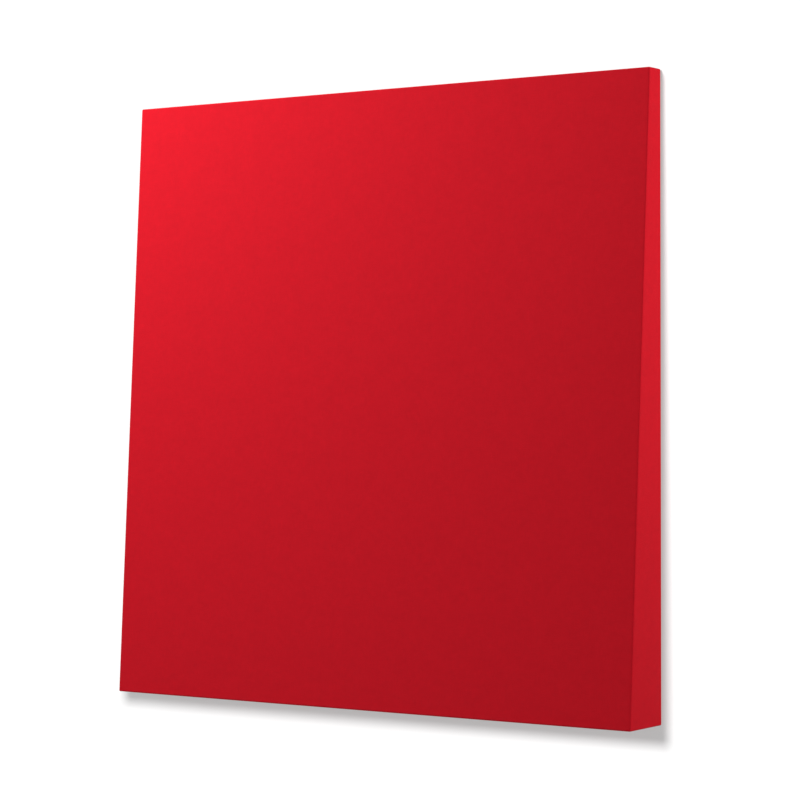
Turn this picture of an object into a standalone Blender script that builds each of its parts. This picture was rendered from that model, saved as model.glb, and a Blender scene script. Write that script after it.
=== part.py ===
"""Tapered acoustic wall panel: a cloth-covered wedge that hooks over an aluminium wall rail.

The rail and its hooks lie in a channel across the panel's back, so the panel hangs flat against
the wall.

Metres. X runs to the right, Z up and +Y into the wall. The origin is the middle of the wall
rail's back face, so the wall is the plane y = 0 and the room lies on its negative side.
"""

import math

import bmesh
import bpy

# Covered panel, over the cloth
WIDTH = 0.610
HEIGHT = 0.610
TOP_DEPTH = 0.0211
BOTTOM_DEPTH = 0.0593

# Fits
FIT = 0.0003  # between pieces that touch, and between the panel and the wall
OVERCUT = 0.001  # how far a cutter runs past the face it opens
WELD = 0.000002  # points closer than this are one

# Cover cloth, wrapped round the edges and folded on to the back of the frame
CLOTH = 0.0008
CLOTH_ARRIS = 0.0014
CLOTH_ARRIS_STEPS = 3
RETURN_WIDTH = 0.015
MITRE_GAP = 0.0006
MITRE_START = 0.003

# Back cloth, stapled over the raw edge of the returns and cut away round the channel
BACK_CLOTH = 0.0005
BACK_CLOTH_MARGIN = 0.008
WINDOW_TRIM = 0.002

# Stiff face board behind the cover
FACE_BOARD = 0.003
BOARD_ARRIS = 0.0006

# Timber frame
RAIL = 0.018
STRETCHER = 0.012
HANGING_BOARD = 0.012
STRIP_HEIGHT = 0.018
GUSSET = 0.009
GUSSET_LEG = 0.045
GUSSET_TO_BOARD = 0.012
TIMBER_ARRIS = 0.0004

# Wool slabs
WOOL_ARRIS = 0.0015

# Cleat bar, one profile for the wall rail and the hook clips
BAR = 0.0025
BAR_LEAF = 0.022
BAR_LIP = 0.012
BAR_ARRIS = 0.0003
WALL_HOLES = 4
WALL_HOLE_SPACING = 0.087
WALL_HOLE_RADIUS = 0.0025
WALL_RAIL_END = 0.022
CLIP_LENGTH = 0.075
CLIP_SPACING = 0.200
CLIP_SCREW_EDGE = 0.015

# Travel that takes the hooks clear of the rail, and the room left above and below it
LIFT = 0.018
CHANNEL_MARGIN = 0.003

# Pan-head screws that hold the hook clips
CLIP_SCREW_LENGTH = 0.012
CLIP_SCREW_SHANK = 0.002
CLIP_SCREW_HEAD = 0.0038
CLIP_SCREW_HEAD_HEIGHT = 0.0021

# Countersunk screws that hold the frame's corners
FRAME_SCREW_LENGTH = 0.040
FRAME_SCREW_SHANK = 0.00175
FRAME_SCREW_HEAD = 0.0035
FRAME_SCREW_RIM = 0.0004
FRAME_SCREW_EDGE = 0.010

# Cross recess in every screw head
RECESS_REACH = 0.0014
RECESS_WIDTH = 0.0008
RECESS_HEART = 0.0011
RECESS_DEPTH = 0.0012

# Facets round a turned piece
SCREW_STEPS = 16
HOLE_STEPS = 24
CURVE_STEPS = 4

# Colour, roughness and metallic value of each stock
RED_CLOTH = ((0.55, 0.012, 0.022), 0.92, 0.0)
BLACK_CLOTH = ((0.012, 0.012, 0.013), 0.95, 0.0)
GLASS_BOARD = ((0.62, 0.52, 0.22), 0.85, 0.0)
MINERAL_WOOL = ((0.50, 0.42, 0.16), 1.0, 0.0)
PINE = ((0.62, 0.42, 0.22), 0.65, 0.0)
BIRCH_PLY = ((0.66, 0.50, 0.31), 0.60, 0.0)
ALUMINIUM = ((0.72, 0.72, 0.73), 0.35, 1.0)
ZINC_STEEL = ((0.62, 0.60, 0.55), 0.32, 1.0)

SIDES = {"left": -1, "right": 1}
ENDS = {"bottom": -1, "top": 1}

# The bar steps out by its own thickness, so one lip slides in behind the other
BAR_STEP = BAR + 2 * FIT
BAR_BEND = BAR_LEAF / 2
BAR_TIP = BAR_BEND + BAR_STEP + BAR_LIP
CLIP_Y = -(BAR_STEP + BAR + FIT)
CLIP_Z = BAR_TIP + BAR_BEND + BAR_STEP - FIT + FIT * math.sqrt(2)

# Planes of the back, from the wall outwards
BACK_CLOTH_Y = -FIT
RETURN_Y = BACK_CLOTH_Y - BACK_CLOTH - FIT
FRAME_Y = RETURN_Y - CLOTH - FIT
BOARD_Y = CLIP_Y - FIT

# The channel that the rail and its hooks lie in, and the board behind it
CHANNEL_BOTTOM = -BAR_BEND - LIFT - CHANNEL_MARGIN
CHANNEL_TOP = CLIP_Z + BAR_BEND + CHANNEL_MARGIN
BOARD_BOTTOM = CHANNEL_BOTTOM - STRIP_HEIGHT
BOARD_TOP = CHANNEL_TOP + STRIP_HEIGHT

# Outer and inner limits of the frame
SKIN = CLOTH + FIT
FRAME_X = WIDTH / 2 - SKIN
INNER_X = FRAME_X - RAIL - FIT
INNER_TOP = BOARD_TOP + GUSSET_TO_BOARD + GUSSET_LEG
FRAME_TOP = INNER_TOP + FIT + RAIL
TOP = FRAME_TOP + SKIN
BOTTOM = TOP - HEIGHT
FRAME_BOTTOM = BOTTOM + SKIN
INNER_BOTTOM = FRAME_BOTTOM + RAIL + FIT
MIDDLE = (TOP + BOTTOM) / 2

# Slope of the front
TAPER = (BOTTOM_DEPTH - TOP_DEPTH) / HEIGHT
SLOPE = math.atan(TAPER)
BOARD_INSET = SKIN
CORE_INSET = BOARD_INSET + FACE_BOARD + FIT


def flat(y):
    """A plane parallel to the wall."""
    return lambda z: y


def sloped(inset):
    """The plane of the panel's front, moved `inset` towards the wall square to itself."""
    return lambda z: RETURN_Y - TOP_DEPTH - (TOP - z) * TAPER + inset / math.cos(SLOPE)


def collection(name):
    group = bpy.data.collections.new(name)
    bpy.context.scene.collection.children.link(group)
    return group


def add_piece(name, mesh, stock, location=(0, 0, 0), rotation=(0, 0, 0), carrier=None):
    """A part of the model, with a material of its own."""
    colour, roughness, metallic = stock
    material = bpy.data.materials.new(name)
    material.use_nodes = True
    shader = material.node_tree.nodes["Principled BSDF"]
    shader.inputs["Base Color"].default_value = (*colour, 1)
    shader.inputs["Roughness"].default_value = roughness
    shader.inputs["Metallic"].default_value = metallic
    piece = bpy.data.objects.new(name, mesh)
    piece.data.materials.clear()
    piece.data.materials.append(material)
    piece.location = location
    piece.rotation_euler = rotation
    piece.parent = carrier
    PARTS.objects.link(piece)
    return piece


def add_cutter(name, mesh, location=(0, 0, 0), rotation=(0, 0, 0)):
    cutter = bpy.data.objects.new(name, mesh)
    cutter.location = location
    cutter.rotation_euler = rotation
    cutter.hide_render = True
    cutter.display_type = "WIRE"
    CUTTERS.objects.link(cutter)
    return cutter


def cut(piece, cutter):
    opening = piece.modifiers.new(cutter.name, "BOOLEAN")
    opening.operation = "DIFFERENCE"
    opening.object = cutter


def ease(piece, width, segments=1):
    """Takes the sharpness off every arris."""
    arris = piece.modifiers.new("arris", "BEVEL")
    arris.width = width
    arris.segments = segments
    arris.limit_method = "ANGLE"


def block_mesh(name, x_span, z_span, front, back):
    """A box whose front and back are planes, each given as a function of the height."""
    shape = bmesh.new()
    bmesh.ops.create_cube(shape, size=1)
    for vertex in shape.verts:
        x = x_span[vertex.co.x > 0]
        z = z_span[vertex.co.z > 0]
        y = back(z) if vertex.co.y > 0 else front(z)
        vertex.co = (x, y, z)
    mesh = bpy.data.meshes.new(name)
    shape.to_mesh(mesh)
    shape.free()
    return mesh


def evaluated_mesh(drawn):
    """The finished, welded mesh of a curve or of an object with modifiers, which is then removed."""
    CUTTERS.objects.link(drawn)
    bpy.context.view_layer.update()
    mesh = bpy.data.meshes.new_from_object(drawn.evaluated_get(bpy.context.evaluated_depsgraph_get()))
    shape = bmesh.new()
    shape.from_mesh(mesh)
    bmesh.ops.remove_doubles(shape, verts=shape.verts, dist=WELD)
    bmesh.ops.recalc_face_normals(shape, faces=shape.faces)
    shape.to_mesh(mesh)
    shape.free()
    bpy.data.objects.remove(drawn)
    return mesh


def outline_mesh(name, outline, length):
    """A flat outline in the local XY plane, carried `length` along the local Z axis."""
    curve = bpy.data.curves.new(name, "CURVE")
    curve.dimensions = "2D"
    curve.fill_mode = "BOTH"
    curve.extrude = length / 2
    spline = curve.splines.new("POLY")
    spline.points.add(len(outline) - 1)
    for point, (x, y) in zip(spline.points, outline):
        point.co = (x, y, 0, 1)
    spline.use_cyclic_u = True
    mesh = evaluated_mesh(bpy.data.objects.new(name, curve))
    mesh.shade_flat()
    return mesh


def turned_mesh(name, profile, steps):
    """A profile of (radius, height) points, top to bottom, turned about the local Z axis."""
    line = bpy.data.meshes.new(name)
    points = [(radius, 0, height) for radius, height in profile]
    line.from_pydata(points, [(n, n + 1) for n in range(len(points) - 1)], [])
    drawn = bpy.data.objects.new(name, line)
    turn = drawn.modifiers.new("turn", "SCREW")
    turn.steps = steps
    turn.render_steps = steps
    turn.use_merge_vertices = True
    turn.merge_threshold = WELD
    return evaluated_mesh(drawn)


def rounded(mesh, angle=35):
    """Shades a turned mesh smooth but for its edges."""
    mesh.shade_smooth()
    mesh.set_sharp_from_angle(angle=math.radians(angle))
    return mesh


def quarter_arc(centre_radius, centre_height, radius):
    """Points of a round shoulder, from its top to its outer side."""
    quarter = math.pi / 2
    turns = [quarter * (1 - n / CURVE_STEPS) for n in range(CURVE_STEPS + 1)]
    return [(centre_radius + radius * math.cos(t), centre_height + radius * math.sin(t)) for t in turns]


def bar_outline():
    """Section of the cleat bar: a leaf, a 45 degree step and a lip with a slanting tip."""
    crease = BAR * math.tan(math.pi / 8)
    return [
        (0, -BAR_BEND),
        (0, BAR_BEND),
        (-BAR_STEP, BAR_BEND + BAR_STEP),
        (-BAR_STEP, BAR_TIP),
        (-BAR_STEP - BAR, BAR_TIP + BAR),
        (-BAR_STEP - BAR, BAR_BEND + BAR_STEP - crease),
        (-BAR, BAR_BEND - crease),
        (-BAR, -BAR_BEND),
    ]


def pan_head_profile(grow=0):
    """A clip screw from the crown of its head down to its point; the head seats at height 0."""
    crown = quarter_arc(
        CLIP_SCREW_HEAD - CLIP_SCREW_HEAD_HEIGHT + grow, 0, CLIP_SCREW_HEAD_HEIGHT
    )
    shank = CLIP_SCREW_SHANK + grow
    end = -CLIP_SCREW_LENGTH - grow
    return [(0, CLIP_SCREW_HEAD_HEIGHT), *crown, (shank, 0), (shank, end + shank), (0, end)]


def countersunk_profile(grow=0):
    """A frame screw from the flat of its head, at height 0, down to its point."""
    head = FRAME_SCREW_HEAD + grow
    shank = FRAME_SCREW_SHANK + grow
    neck = -FRAME_SCREW_RIM - (head - shank)
    end = -FRAME_SCREW_LENGTH - grow
    rise = OVERCUT if grow else 0
    top = [(0, rise), (head, rise), (head, -FRAME_SCREW_RIM)]
    return [*top, (shank, neck), (shank, end + shank), (0, end)]


def cross_outline():
    """The plus sign of a cross recess, its arms a little wider at the middle."""
    heart = RECESS_HEART / 2
    half = RECESS_WIDTH / 2
    arm = [(heart, -heart), (RECESS_REACH, -half), (RECESS_REACH, half)]
    points = []
    for quarter in range(4):
        turn = quarter * math.pi / 2
        points += [
            (x * math.cos(turn) - y * math.sin(turn), x * math.sin(turn) + y * math.cos(turn))
            for x, y in arm
        ]
    return points


def screw_mesh(name, profile, top):
    """A screw with its cross recess, ready to be shared by its copies."""
    drawn = bpy.data.objects.new(name, turned_mesh(name, profile, SCREW_STEPS))
    recess_mesh = outline_mesh(name + "_recess", cross_outline(), 2 * RECESS_DEPTH)
    recess = add_cutter(name + "_recess", recess_mesh, location=(0, 0, top))
    cut(drawn, recess)
    return rounded(evaluated_mesh(drawn))


def build_wall_rail():
    """The bar on the wall, with its row of screw holes."""
    reach = WALL_HOLE_SPACING * (WALL_HOLES - 1)
    length = reach + 2 * WALL_RAIL_END
    mesh = outline_mesh("wall_rail", bar_outline(), length)
    rail = add_piece("wall_rail", mesh, ALUMINIUM, rotation=WALL_TURN)
    ease(rail, BAR_ARRIS)
    rise = BAR + OVERCUT
    profile = [(0, rise), (WALL_HOLE_RADIUS, rise), (WALL_HOLE_RADIUS, -rise), (0, -rise)]
    hole_mesh = turned_mesh("wall_hole", profile, HOLE_STEPS)
    for number in range(WALL_HOLES):
        x = WALL_HOLE_SPACING * number - reach / 2
        name = f"wall_hole_{number + 1}"
        cut(rail, add_cutter(name, hole_mesh, location=(x, 0, 0), rotation=SCREW_INTO_FRAME))


def build_hook_clips(hanging_board):
    """Two short lengths of the same bar, upside down, each with two screws into the hanging board."""
    bar_mesh = outline_mesh("hook_clip", bar_outline(), CLIP_LENGTH)
    screw = screw_mesh("clip_screw", pan_head_profile(), CLIP_SCREW_HEAD_HEIGHT)
    hole = turned_mesh("clip_screw_hole", pan_head_profile(FIT), SCREW_STEPS)
    head_y = CLIP_Y + BAR + FIT
    for side, sign in SIDES.items():
        middle = sign * CLIP_SPACING / 2
        clip = add_piece(
            f"hook_clip_{side}", bar_mesh.copy(), ALUMINIUM, (middle, CLIP_Y, CLIP_Z), CLIP_TURN, PANEL
        )
        ease(clip, BAR_ARRIS)
        for number, direction in enumerate((-1, 1), start=1):
            name = f"clip_screw_{side}_{number}"
            place = (middle + direction * (CLIP_LENGTH / 2 - CLIP_SCREW_EDGE), head_y, CLIP_Z)
            add_piece(name, screw.copy(), ZINC_STEEL, place, SCREW_INTO_FRAME, PANEL)
            opening = add_cutter(name + "_hole", hole, place, SCREW_INTO_FRAME)
            cut(clip, opening)
            cut(hanging_board, opening)


def timber(name, x_span, z_span, front, back, stock):
    piece = add_piece(name, block_mesh(name, x_span, z_span, front, flat(back)), stock, carrier=PANEL)
    ease(piece, TIMBER_ARRIS)
    return piece


def build_frame():
    """Side rails over the full height and the cross rails between them, bevelled to the slope."""
    between = (-INNER_X, INNER_X)
    slope = sloped(CORE_INSET)
    top = (FRAME_TOP - RAIL, FRAME_TOP)
    bottom = (FRAME_BOTTOM, FRAME_BOTTOM + RAIL)
    middle = (MIDDLE - STRETCHER / 2, MIDDLE + STRETCHER / 2)
    board = (BOARD_BOTTOM, BOARD_TOP)
    board_front = flat(BOARD_Y - HANGING_BOARD)
    rails = {
        "top_rail": timber("top_rail", between, top, slope, FRAME_Y, PINE),
        "bottom_rail": timber("bottom_rail", between, bottom, slope, FRAME_Y, PINE),
        "centre_stretcher": timber("centre_stretcher", between, middle, slope, RETURN_Y, PINE),
        "hanging_board": timber("hanging_board", between, board, board_front, BOARD_Y, BIRCH_PLY),
    }
    for side, sign in SIDES.items():
        across = sorted((sign * (FRAME_X - RAIL), sign * FRAME_X))
        height = (FRAME_BOTTOM, FRAME_TOP)
        rails[side] = timber(f"{side}_side_rail", across, height, slope, FRAME_Y, PINE)
    return rails


def build_channel_strips():
    """Two strips on the hanging board, level with the returns: the sides of the channel."""
    heights = {"upper": (CHANNEL_TOP, BOARD_TOP), "lower": (BOARD_BOTTOM, CHANNEL_BOTTOM)}
    for name, z_span in heights.items():
        between = (-INNER_X, INNER_X)
        timber(f"{name}_channel_strip", between, z_span, flat(BOARD_Y + FIT), RETURN_Y, BIRCH_PLY)


def screw_seats():
    """Where the frame screws enter each cross rail, as (y, z)."""
    top_z = FRAME_TOP - RAIL / 2
    bottom_z = FRAME_BOTTOM + RAIL / 2
    front = sloped(CORE_INSET)
    board_y = BOARD_Y - HANGING_BOARD / 2
    return {
        "top_rail": [((FRAME_Y + front(top_z)) / 2, top_z)],
        "bottom_rail": [
            (FRAME_Y - FRAME_SCREW_EDGE, bottom_z),
            (front(bottom_z) + FRAME_SCREW_EDGE, bottom_z),
        ],
        "centre_stretcher": [
            (RETURN_Y - FRAME_SCREW_EDGE, MIDDLE),
            (front(MIDDLE) + FRAME_SCREW_EDGE, MIDDLE),
        ],
        "hanging_board": [
            (board_y, BOARD_TOP - FRAME_SCREW_EDGE),
            (board_y, BOARD_BOTTOM + FRAME_SCREW_EDGE),
        ],
    }


def build_frame_screws(rails):
    """A screw through the side rail into the end of each cross rail, in a hole that clears it."""
    screw = screw_mesh("frame_screw", countersunk_profile(), 0)
    hole = turned_mesh("frame_screw_hole", countersunk_profile(FIT), SCREW_STEPS)
    for side, sign in SIDES.items():
        turn = (0, sign * math.pi / 2, 0)
        for rail, seats in screw_seats().items():
            for number, (y, z) in enumerate(seats, start=1):
                name = f"{side}_{rail}_screw_{number}"
                place = (sign * (FRAME_X - FIT), y, z)
                add_piece(name, screw.copy(), ZINC_STEEL, place, turn, PANEL)
                opening = add_cutter(name + "_hole", hole, place, turn)
                cut(rails[side], opening)
                cut(rails[rail], opening)


def gusset_outline(sign_x, sign_z, over=0, grow=0):
    """A right-angled triangle in the frame's corner; `over` runs past its two square sides."""
    far = over - (GUSSET_LEG + 2 * over + grow * math.sqrt(2))
    corners = [(over, over), (far, over), (over, far)]
    return [(sign_x * x, sign_z * z) for x, z in corners]


def build_gussets():
    """A ply triangle in each corner, level with the returns, and the cutters for its pockets."""
    pockets = {end: [] for end in ENDS}
    for end, sign_z in ENDS.items():
        for side, sign_x in SIDES.items():
            name = f"{end}_{side}_gusset"
            corner = (
                sign_x * INNER_X,
                RETURN_Y - GUSSET / 2,
                INNER_TOP if end == "top" else INNER_BOTTOM,
            )
            mesh = outline_mesh(name, gusset_outline(sign_x, sign_z), GUSSET)
            add_piece(name, mesh, BIRCH_PLY, corner, FACING_ROOM, PANEL)
            pocket = outline_mesh(
                name + "_pocket", gusset_outline(sign_x, sign_z, OVERCUT, FIT), GUSSET + 2 * FIT
            )
            pockets[end].append(add_cutter(name + "_pocket", pocket, corner, FACING_ROOM))
    return pockets


def build_cores(pockets):
    """Wool slabs cut to the taper: above, in front of and below the hanging board, and at the foot."""
    over_board = flat(BOARD_Y - HANGING_BOARD - FIT)
    level = flat(RETURN_Y)
    slabs = {
        "top_core": (BOARD_TOP + FIT, INNER_TOP, level, pockets["top"]),
        "front_core": (BOARD_BOTTOM, BOARD_TOP, over_board, []),
        "upper_core": (MIDDLE + STRETCHER / 2 + FIT, BOARD_BOTTOM - FIT, level, []),
        "lower_core": (INNER_BOTTOM, MIDDLE - STRETCHER / 2 - FIT, level, pockets["bottom"]),
    }
    for name, (low, high, back, openings) in slabs.items():
        mesh = block_mesh(name, (-INNER_X, INNER_X), (low, high), sloped(CORE_INSET), back)
        core = add_piece(name, mesh, MINERAL_WOOL, carrier=PANEL)
        ease(core, WOOL_ARRIS)
        for pocket in openings:
            cut(core, pocket)


def build_face_board():
    mesh = block_mesh(
        "face_board",
        (-FRAME_X, FRAME_X),
        (FRAME_BOTTOM, FRAME_TOP),
        sloped(BOARD_INSET),
        sloped(BOARD_INSET + FACE_BOARD),
    )
    ease(add_piece("face_board", mesh, GLASS_BOARD, carrier=PANEL), BOARD_ARRIS)


def build_cover():
    """One skin of cloth over the front and the four edges, with mitred returns on the back."""
    mesh = block_mesh("fabric_cover", (-WIDTH / 2, WIDTH / 2), (BOTTOM, TOP), sloped(0), flat(RETURN_Y))
    shape = bmesh.new()
    shape.from_mesh(mesh)
    shape.normal_update()
    back = [face for face in shape.faces if face.normal.y > 1 / 2]
    bmesh.ops.delete(shape, geom=back, context="FACES_ONLY")
    rim = [edge for edge in shape.edges if edge.is_boundary]
    folded = bmesh.ops.extrude_edge_only(shape, edges=rim)["geom"]
    for vertex in (item for item in folded if isinstance(item, bmesh.types.BMVert)):
        vertex.co.x -= math.copysign(RETURN_WIDTH, vertex.co.x)
        vertex.co.z -= math.copysign(RETURN_WIDTH, vertex.co.z - MIDDLE)
    bmesh.ops.recalc_face_normals(shape, faces=shape.faces)
    shape.to_mesh(mesh)
    shape.free()
    cover = add_piece("fabric_cover", mesh, RED_CLOTH, carrier=PANEL)
    ease(cover, CLOTH_ARRIS, CLOTH_ARRIS_STEPS)
    thickness = cover.modifiers.new("thickness", "SOLIDIFY")
    thickness.thickness = CLOTH
    thickness.offset = -1
    thickness.use_even_offset = True
    diagonal = RETURN_WIDTH * math.sqrt(2)
    slit_mesh = block_mesh(
        "mitre",
        (-diagonal / 2, diagonal / 2),
        (-MITRE_GAP / 2, MITRE_GAP / 2),
        flat(-CLOTH - FIT / 2),
        flat(OVERCUT),
    )
    reach = (diagonal / 2 + MITRE_START) / math.sqrt(2)
    for end, sign_z in ENDS.items():
        for side, sign_x in SIDES.items():
            place = (
                sign_x * (WIDTH / 2 - reach),
                RETURN_Y,
                (TOP - reach) if end == "top" else (BOTTOM + reach),
            )
            turn = (0, -sign_x * sign_z * math.pi / 4, 0)
            cut(cover, add_cutter(f"{end}_{side}_mitre", slit_mesh, place, turn))


def build_back_cloth():
    reach = WIDTH / 2 - BACK_CLOTH_MARGIN
    height = (BOTTOM + BACK_CLOTH_MARGIN, TOP - BACK_CLOTH_MARGIN)
    front = BACK_CLOTH_Y - BACK_CLOTH
    mesh = block_mesh("back_cloth", (-reach, reach), height, flat(front), flat(BACK_CLOTH_Y))
    cloth = add_piece("back_cloth", mesh, BLACK_CLOTH, carrier=PANEL)
    side = INNER_X + FIT + WINDOW_TRIM
    window_height = (CHANNEL_BOTTOM - WINDOW_TRIM, CHANNEL_TOP + WINDOW_TRIM)
    window_front = flat(front - OVERCUT)
    window = block_mesh("window", (-side, side), window_height, window_front, flat(OVERCUT))
    cut(cloth, add_cutter("window", window))


for old in list(bpy.data.objects):
    bpy.data.objects.remove(old)

PARTS = collection("acoustic_panel")
CUTTERS = collection("cutters")

# Turns that stand a section or a turned piece in its place
WALL_TURN = (math.pi / 2, 0, math.pi / 2)
CLIP_TURN = (-math.pi / 2, 0, -math.pi / 2)
FACING_ROOM = (math.pi / 2, 0, 0)
SCREW_INTO_FRAME = (-math.pi / 2, 0, 0)

# Everything but the wall rail lifts off with this empty
PANEL = bpy.data.objects.new("panel", None)
PARTS.objects.link(PANEL)

build_wall_rail()
frame_rails = build_frame()
build_frame_screws(frame_rails)
build_channel_strips()
build_hook_clips(frame_rails["hanging_board"])
build_cores(build_gussets())
build_face_board()
build_cover()
build_back_cloth()
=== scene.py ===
# %% [markdown]
# # A tapered acoustic wall panel
#
# The object is a square wedge of sound absorber wrapped in red cloth. It is thin at its top edge
# and thick at its foot, and it hangs flat on a wall from an aluminium rail hidden in its back.
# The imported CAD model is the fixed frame: every solid is already in its place, in metres, with
# the wall at y = 0 and the room on the negative side of it. This script dresses those solids,
# replaces the soft ones with real cloth and wool, and lights the result.

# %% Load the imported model
import math
import random

import bmesh
import bpy
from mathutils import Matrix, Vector, noise


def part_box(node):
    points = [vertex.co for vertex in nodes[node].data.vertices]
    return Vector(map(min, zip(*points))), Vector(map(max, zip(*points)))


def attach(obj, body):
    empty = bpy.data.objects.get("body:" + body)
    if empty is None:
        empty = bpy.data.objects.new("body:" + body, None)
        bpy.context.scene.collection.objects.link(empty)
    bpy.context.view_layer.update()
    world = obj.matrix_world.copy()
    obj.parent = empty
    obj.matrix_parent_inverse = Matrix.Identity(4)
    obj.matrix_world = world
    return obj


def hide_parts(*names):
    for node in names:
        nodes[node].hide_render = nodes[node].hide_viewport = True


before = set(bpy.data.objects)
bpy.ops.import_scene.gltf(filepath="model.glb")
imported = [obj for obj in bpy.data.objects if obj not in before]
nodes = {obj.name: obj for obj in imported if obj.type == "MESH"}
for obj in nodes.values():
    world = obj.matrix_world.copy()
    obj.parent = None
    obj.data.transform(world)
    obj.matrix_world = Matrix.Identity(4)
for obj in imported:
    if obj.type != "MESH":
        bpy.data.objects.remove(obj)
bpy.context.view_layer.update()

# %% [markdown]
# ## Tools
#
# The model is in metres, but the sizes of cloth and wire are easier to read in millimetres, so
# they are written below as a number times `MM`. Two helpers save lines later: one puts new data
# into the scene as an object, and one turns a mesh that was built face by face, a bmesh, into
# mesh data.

MM = 0.001


def put_in_scene(name, data):
    """A new object of the scene."""
    thing = bpy.data.objects.new(name, data)
    bpy.context.scene.collection.objects.link(thing)
    return thing


def into_mesh(shape, name):
    """Mesh data made from a bmesh, which is then let go."""
    mesh = bpy.data.meshes.new(name)
    shape.to_mesh(mesh)
    shape.free()
    return mesh

# %% [markdown]
# ## Sizes
#
# A dressed piece has to fit the solid that it stands for, so its sizes are read from the frame
# and not typed in again. The sloping front is the largest triangle of the cover that faces the
# room: its normal gives the slope, and any point of it gives the place.

# %% Sizes read from the frame
cover_low, cover_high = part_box("fabric_cover")
HALF_WIDTH = cover_high.x
TOP, BOTTOM = cover_high.z, cover_low.z
RETURN_Y = cover_high.y
MIDDLE_Z = (TOP + BOTTOM) / 2

facing_room = [face for face in nodes["fabric_cover"].data.polygons if face.normal.y < -0.9]
largest = max(facing_room, key=lambda face: face.area)
FRONT_NORMAL = largest.normal.copy()
FRONT_POINT = largest.center.copy()


def front_y(z):
    """The front of the cover at a height."""
    return FRONT_POINT.y - (z - FRONT_POINT.z) * FRONT_NORMAL.z / FRONT_NORMAL.y


print(f"panel {2 * HALF_WIDTH / MM:.1f} mm wide, {(TOP - BOTTOM) / MM:.1f} mm high")

# %% [markdown]
# ## The camera
#
# The photograph was taken from the right, level with the middle of the panel, with a long lens.
# Six corners of the panel are enough to solve for the camera, if the panel is taken to be a
# square of known size: the place below is that solution, counted from the middle of the panel's
# lower back edge in panel widths. The camera comes first, so every later render shows the
# photograph's own view.

# %% The camera
CAMERA_PLACE = Vector((2.4305, -3.5116, 0.4883))
CAMERA_ANGLES = (90.111, 0.076, 34.500)
CAMERA_LENS = 117.82

camera = put_in_scene("camera", bpy.data.cameras.new("camera"))
camera.data.lens = CAMERA_LENS
camera.location = Vector((0, RETURN_Y, BOTTOM)) + 2 * HALF_WIDTH * CAMERA_PLACE
camera.rotation_euler = [math.radians(angle) for angle in CAMERA_ANGLES]
bpy.context.scene.camera = camera
print("camera at", [round(value, 3) for value in camera.location])

# %% [markdown]
# ## Small helpers for shaders
#
# A material is a graph of nodes. These helpers keep the graphs short: `add` makes a node, sets
# its options, and links or fills its sockets, and the others are one node each. `new_group`
# makes an empty node group with named inputs and outputs. A group is built once, and then
# placed in every material that needs its effect, each time with its own values.

# %% Shader helpers
def add(tree, kind, inputs=None, **options):
    """A new node, with its options set and its sockets linked or filled."""
    node = tree.nodes.new(kind)
    for name, value in options.items():
        setattr(node, name, value)
    for name, value in (inputs or {}).items():
        if isinstance(value, bpy.types.NodeSocket):
            tree.links.new(value, node.inputs[name])
        else:
            node.inputs[name].default_value = value
    return node


def calc(tree, operation, first, second=0.0, clamp=False):
    """The result of one sum."""
    options = {"operation": operation, "use_clamp": clamp}
    return add(tree, "ShaderNodeMath", {0: first, 1: second}, **options).outputs[0]


def spread(tree, value, low, high, to_low=0.0, to_high=1.0):
    """A value stretched from one range to another and held inside it."""
    sockets = {"Value": value, "From Min": low, "From Max": high}
    sockets |= {"To Min": to_low, "To Max": to_high}
    return add(tree, "ShaderNodeMapRange", sockets, clamp=True).outputs["Result"]


def speckle(tree, vector, scale, detail=2.0, roughness=0.5):
    """Soft noise from 0 to 1."""
    sockets = {"Vector": vector, "Scale": scale, "Detail": detail, "Roughness": roughness}
    return add(tree, "ShaderNodeTexNoise", sockets).outputs["Fac"]


def split(tree, vector):
    """The three parts of a vector."""
    return add(tree, "ShaderNodeSeparateXYZ", {0: vector}).outputs


def calc_vector(tree, operation, first, second):
    """The result of one sum of two vectors."""
    return add(tree, "ShaderNodeVectorMath", {0: first, 1: second}, operation=operation).outputs[0]


def stretch(tree, vector, factors):
    """Coordinates multiplied along each axis."""
    return calc_vector(tree, "MULTIPLY", vector, factors)


def scale_vector(tree, vector, factor):
    """Coordinates multiplied by one number."""
    sockets = {0: vector, "Scale": factor}
    return add(tree, "ShaderNodeVectorMath", sockets, operation="SCALE").outputs[0]


def push_about(tree, vector, noise_at, scale, reach):
    """Coordinates moved a little each way by soft noise."""
    drift = add(tree, "ShaderNodeTexNoise", {"Vector": noise_at, "Scale": scale, "Detail": 3.0})
    centred = calc_vector(tree, "SUBTRACT", drift.outputs["Color"], (0.5, 0.5, 0.5))
    return calc_vector(tree, "ADD", vector, scale_vector(tree, centred, reach))


def mix(tree, factor, first, second, mode="MIX"):
    """One colour over another."""
    node = add(tree, "ShaderNodeMix", data_type="RGBA", blend_type=mode)
    for index, value in ((0, factor), (6, first), (7, second)):
        if isinstance(value, bpy.types.NodeSocket):
            tree.links.new(value, node.inputs[index])
        else:
            node.inputs[index].default_value = value
    return node.outputs[2]


def new_group(name, inputs, outputs):
    """An empty node group, the sockets that come in and the sockets that go out."""
    group = bpy.data.node_groups.new(name, "ShaderNodeTree")
    for label, kind, value in inputs:
        kind = "NodeSocket" + kind
        socket = group.interface.new_socket(label, in_out="INPUT", socket_type=kind)
        if value is not None:
            socket.default_value = value
    for label, kind in outputs:
        group.interface.new_socket(label, in_out="OUTPUT", socket_type="NodeSocket" + kind)
    come_in = group.nodes.new("NodeGroupInput").outputs
    go_out = group.nodes.new("NodeGroupOutput").inputs
    return group, come_in, go_out


def place(tree, group, **inputs):
    """A node group set into a material; its sockets are given by name, with _ for a space."""
    sockets = {name.replace("_", " "): value for name, value in inputs.items()}
    return add(tree, "ShaderNodeGroup", sockets, node_tree=group).outputs

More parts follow.
